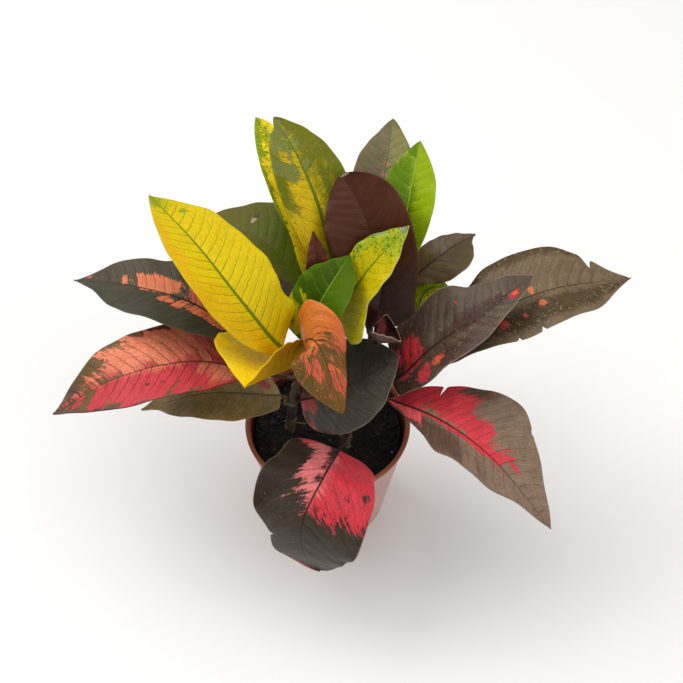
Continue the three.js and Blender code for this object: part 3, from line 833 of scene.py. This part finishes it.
        "blade": [[8, -37, 112], [-2, -66, 124], [-16, -93, 112], [-17, -98, 78], [-5, -91, 41]],
        "width": 78, "widest": 0.5, "taper": [0.18, 0.7], "turn": -15, "roll": -8, "fold": 0, "skew": 0.12,
        "pitch": 9,
        "dents": [[0.68, -1, 3, 0.012], [0.66, -1, 8, 0.09], [0.86, -1, -3, 0.06], [0.34, -1, -8, 0.16],
                  [0.09, -1, -7, 0.1], [0.16, 1, 2.5, 0.08], [0.78, 1, 2, 0.08]],
        "base": "30261a", "second": "42382c", "accent": "cc3440", "glowColour": "d87270",
        "fleckColour": "4c2a24", "spatterColour": "7a6248", "veinColour": "30201a", "ribColour": "281812",
        "edgeColour": "7c6658",
        "blush": [[0.12, 0.5, 0.26, 0.8], [0.34, 0.34, 0.1, 0.4], [0.16, -0.3, 0.16, 0.3],
                  [0.05, -0.5, 0.06, 0.5], [0.95, -0.9, 0.05, 0.1]],
        "glow": [[0.18, -0.4, 0.28, 0.4], [0.95, -0.9, 0.08, 0.1]], "shade": [[0.75, 0.1, 0.3, 1.0]],
        "flecks": [[0.26, 0.85, 0.06, 0.3], [0.32, 0.5, 0.045, 0.2], [0.32, 0.95, 0.06, 0.25],
                   [0.41, 0.65, 0.08, 0.4], [0.44, 0.2, 0.06, 0.35]], "laneJag": 0.35, "fleck": 0.26,
        "spatter": 0.34, "net": 0.2, "edge": 0.5, "mottle": 0.9, "streak": 0.8, "grit": 0.8, "shine": 0.18,
    },
    "bud_upright": {
        **maroonLook, "stem": "right", "up": 0.95, "blade": [[29, 6, 196], [25, 7, 209], [24, 9, 222]],
        "width": 21, "widest": 0.5, "fold": 40, "wave": 0.3, "waves": 1, "rows": 50, "columns": 8,
        "dents": [[0.16, 1, -6, 0.16], [0.4, 1, -5, 0.3], [0.25, -1, -3, 0.3]],
        "base": "2c130d",
    },
    "bud_curled": {
        **maroonLook, "stem": "right", "up": 0.96, "blade": [[34, -3, 198], [41, -8, 202], [50, -12, 206]],
        "width": 35, "widest": 0.5, "cup": 50, "wave": 0.3, "waves": 1, "rows": 50, "columns": 9,
        "dents": [[0.3, -1, -4, 0.25], [0.2, 1, -4, 0.2]],
        "base": "2c1610", "accent": "8a3a3c", "edgeColour": "9a7c70", "underColour": "5a4038",
        "blush": [[0.15, 0.6, 0.15, 0.5]], "edge": 0.9,
    },
}


# What all leaves share: the stalk and how far it sinks below its first ring, the sheet of the blade, the
# shoulders and channel over the midrib as [height, half width], the ridge under it, and how the side veins
# lean and curl.
leafBuild = {
    "stalk": 1.5, "stalkRows": 10, "sink": 1.4, "sheet": 0.32, "neck": 0.12, "channel": [0.5, 0.6],
    "shoulder": [0.45, 1.7], "ridge": [0.3, 1.0, 1.2], "lean": 0.42, "curl": 0.35, "lump": 0.5,
    "lumpLength": 14,
}


def patchField(patches, along, across):
    field = 0.0
    for u, w, longSide, wideSide in patches:
        distance = math.hypot((along - u) / longSide, (across - w) / wideSide)
        field = max(field, 1 - 0.5 * distance)
    return field


# The line from the stem along the stalk and midrib, and the direction across the blade.
def leafLine(leaf):
    stem = stems[leaf["stem"]]
    blade = [Vector(p) * mm for p in leaf["blade"]]
    root = stemPoint(stem, leaf["up"])
    away = (blade[0] - root).normalized()
    level = Vector((away.x, away.y, 0)).normalized()
    clear = stemRadius(stem, leaf["up"]) + 0.3 + 1.95 * away.z
    heading = blade[-1] - blade[0]
    across = Vector((-heading.y, heading.x, 0)).normalized()
    across.rotate(Quaternion((0, 0, 1), math.radians(leaf["turn"])))
    return [root + level * clear * mm] + blade, across


def halfWidth(leaf, share, side):
    swell = math.log(0.5) / math.log(leaf["widest"])
    oval = max(0, math.sin(math.pi * share ** swell)) ** mix(*leaf["taper"], share)
    half = max(1.5 * (1 - share), 0.2, leaf["width"] / 2 * oval)
    return half * (1 + side * leaf["skew"] * smooth(share, 0, leafBuild["neck"]))


def dentDepth(leaf, share, side):
    return sum(deep * math.exp(-((share - u) / wide) ** 2)
               for u, where, deep, wide in leaf["dents"] if where == side)


# How far from the midrib each column stands, as a share of the half width.
def columnShares(half, columns):
    rim = 1 - min(0.12, 0.35 / half)
    near, far = min(0.06, 0.5 / half), min(0.14, 1.3 / half)
    return [0, near] + [mix(far, rim, i / columns) for i in range(columns + 1)] + [1]


leafRelief = {"Vein": -0.6, "Net": -0.25, "Mottle": 0.8, "Streak": 0.5}


def makeLeafMaterial(name, leaf):
    material, tree, shader = newMaterial(name)
    values = {key: leaf[key] for key in maskInputs}
    masks = placeGroup(tree, leafMasks, {**values, "seed": float(sum(map(ord, name)) % 97)})
    values = {key: masks[key] for key in maskNames}
    values.update({key: leaf[key] for key in paintColours})
    values.update({key + " share": leaf[key] for key in paintShares})
    paint = placeGroup(tree, leafPaint, values)["Colour"]
    rough = total(tree, swing(tree, masks["Mottle"], 0.2), leaf["rough"])
    height = total(tree, *[times(tree, masks[key], deep) for key, deep in leafRelief.items()])
    dressShader(tree, shader, paint, rough, height)
    shader.inputs["Specular IOR Level"].default_value = leaf["shine"]
    return material


def makeLeaf(name, leaf):
    leaf, build = {**plainLeaf, **leaf}, leafBuild
    points, across = leafLine(leaf)
    bladeStart = 1 / len(leaf["blade"])
    length = (Vector(leaf["blade"][-1]) - Vector(leaf["blade"][0])).length * 1.06
    seed = sum(map(ord, name)) % 31
    stalkRows = build["stalkRows"]
    rows = leaf["rows"] + stalkRows + 2
    columns = leaf["columns"] + 3
    around = 4 * columns

    bm = bmesh.new()
    bmesh.ops.create_grid(bm, x_segments=rows, y_segments=around, size=0.5, calc_uvs=False)
    layers = {key: bm.verts.layers.float.new(key) for key in leafLayers + patchLayers}
    sheet = bm.loops.layers.uv.new("leafMap")
    stations = {}

    # everything that is the same all the way across one row
    def station(row):
        share = min(1, max(0, (row - stalkRows - 1) / leaf["rows"]))
        if row > stalkRows:
            t = mix(bladeStart, 1, share)
        else:
            t = bladeStart * max(0, row - 1) / stalkRows
        tangent = curveTangent(points, t)
        side = (across - tangent * across.dot(tangent)).normalized()
        side.rotate(Quaternion(tangent, math.radians(leaf["roll"])))
        middle = curvePoint(points, t)
        if row <= 1:
            middle = middle - tangent * build["sink"] * mm
        return share, middle, side, tangent.cross(side)

    for vert in bm.verts:
        row = round((vert.co.x + 0.5) * rows)
        slot = round((vert.co.y + 0.5) * around)
        if row not in stations:
            stations[row] = station(row)
        share, middle, side, normal = stations[row]
        onBlade = row > stalkRows
        # round the section: left margin, over the top, right margin, back underneath
        under = slot > 2 * columns
        step = slot - 2 * columns if under else slot
        sign = 1 if (step < columns) != under else -1
        if step == columns:
            sign = 0
        half = halfWidth(leaf, share, sign if sign else 1) if onBlade else build["stalk"]
        part = columnShares(half, leaf["columns"])[abs(columns - step)]
        blade = smooth(share, 0, build["neck"])
        reach = part * half
        dent = dentDepth(leaf, share, sign) * part ** 2.5 * blade
        lift = math.radians(leaf["fold"] + leaf["cup"] * part) * blade
        turns = 2 * math.pi * leaf["waves"] * share + (0 if sign > 0 else 2)
        flutter = noise.noise(Vector((share * 9, sign * 3, seed * 1.7)))
        wave = leaf["wave"] * part ** 2 * math.sin(turns)
        wave += leaf["crinkle"] * part ** 3 * (math.sin(40 * share + 3 * sign + seed) + 1.6 * flutter)
        phase = share * length - build["lean"] * reach - build["curl"] * reach * reach / half
        phase /= leaf["pitch"]
        phase += 0.5 * (sign > 0) + 0.25 * noise.noise(Vector((share * 5, sign * 2.2, seed)))
        puff = abs(math.sin(math.pi * phase)) * smooth(reach, 0.3, 4)
        puff *= (1 - part ** 4) * smooth(share, 0, 0.15)
        lumps = noise.noise(Vector((
            share * length / build["lumpLength"], sign * reach / build["lumpLength"], seed + 5,
        )))
        relief = leaf["quilt"] * puff * smooth(1 - share, 0, 0.1) + build["lump"] * lumps * blade * part
        if under:
            thin, thick, wide = build["ridge"]
            ridge = (thick * (1 - share) + thin) * math.exp(-(reach / wide) ** 2)
            level = -(build["sheet"] + ridge)
        else:
            (high, far), (deep, near) = build["shoulder"], build["channel"]
            groove = high * math.exp(-(reach / far) ** 2) - deep * math.exp(-(reach / near) ** 2)
            level = build["sheet"] - groove * (1 - 0.6 * share)
        disc = build["stalk"] * math.sqrt(max(0, 1 - part * part)) * (-1 if under else 1)
        level = mix(disc, level * (part <= 0.9999), blade)
        if row in (0, rows):
            reach, level, wave, relief, dent = 0, 0, 0, 0, 0
        place = sign * max(0, reach - dent)
        local = normal * math.cos(lift) - side * sign * math.sin(lift)
        vert.co = (middle + side * place * math.cos(lift) * mm
                   + normal * (abs(place) * math.sin(lift) + wave * blade) * mm
                   + local * (relief * blade + level) * mm)
        vert[layers["along"]] = share
        vert[layers["across"]] = sign * part
        vert[layers["phase"]] = phase
        vert[layers["reach"]] = reach if onBlade else 0
        vert[layers["edge"]] = half * (1 - part) if onBlade else 9
        vert[layers["under"]] = 1 if under and part < 0.999 else 0
        for key in patchLayers:
            vert[layers[key]] = patchField(leaf[key], share, sign * part)
    for face in bm.faces:
        for loop in face.loops:
            vert = loop.vert
            loop[sheet].uv = (vert[layers["along"]], 0.5 + 0.5 * vert[layers["across"]])
    bmesh.ops.remove_doubles(bm, verts=bm.verts, dist=2e-6)
    return finishPiece(name, bm, [makeLeafMaterial(name, leaf)], ["leaf_" + name])


for name, leaf in leaves.items():
    makeLeaf(name, leaf)
print("leaves made:", len(leaves))


# Floor, light and camera

# each light is [place, aim, size, power], in metres and watts
studio = {
    "floor": "f4f3f1", "world": 0.46,
    "key": [[-0.9, 0.5, 1.5], [0, 0, 0.15], 1.2, 17], "fill": [[1.2, -0.8, 1.0], [0, 0, 0.15], 1.2, 9],
    "top": [[0.2, 0.1, 1.9], [0, 0, 0.1], 1.4, 9],
    "target": [10, 0, 190.5], "elevation": 52, "distance": 1200, "lens": 92.66,
}


def makeFloor():
    bm = bmesh.new()
    bmesh.ops.create_grid(bm, x_segments=1, y_segments=1, size=4)
    mesh = bpy.data.meshes.new("floor")
    bm.to_mesh(mesh)
    bm.free()
    floor = bpy.data.objects.new("floor", mesh)
    addToScene(floor)
    material, tree, shader = newMaterial("paleFloor")
    dressShader(tree, shader, studio["floor"], 0.9)
    mesh.materials.append(material)


def makeLight(name, place, aim, size, power):
    lamp = bpy.data.lights.new(name, "AREA")
    lamp.shape, lamp.size, lamp.energy = "SQUARE", size, power
    light = bpy.data.objects.new(name, lamp)
    light.location = place
    light.rotation_euler = (Vector(aim) - Vector(place)).to_track_quat("-Z", "Y").to_euler()
    addToScene(light)


def makeCamera():
    camera = bpy.data.objects.new("camera", bpy.data.cameras.new("camera"))
    target = Vector(studio["target"]) * mm
    angle = math.radians(studio["elevation"])
    camera.location = target + Vector((0, -math.cos(angle), math.sin(angle))) * studio["distance"] * mm
    camera.rotation_euler = (target - camera.location).to_track_quat("-Z", "Y").to_euler()
    camera.data.sensor_width = 36
    camera.data.lens = studio["lens"]
    addToScene(camera)
    bpy.context.scene.camera = camera


makeFloor()
for name in ("key", "fill", "top"):
    makeLight(name, *studio[name])
world = bpy.data.worlds.new("world")
world.use_nodes = True
background = world.node_tree.nodes["Background"].inputs
background["Color"].default_value, background["Strength"].default_value = (1, 1, 1, 1), studio["world"]
bpy.context.scene.world = world
makeCamera()
bpy.context.scene.view_settings.view_transform = "Standard"
print("stage made")
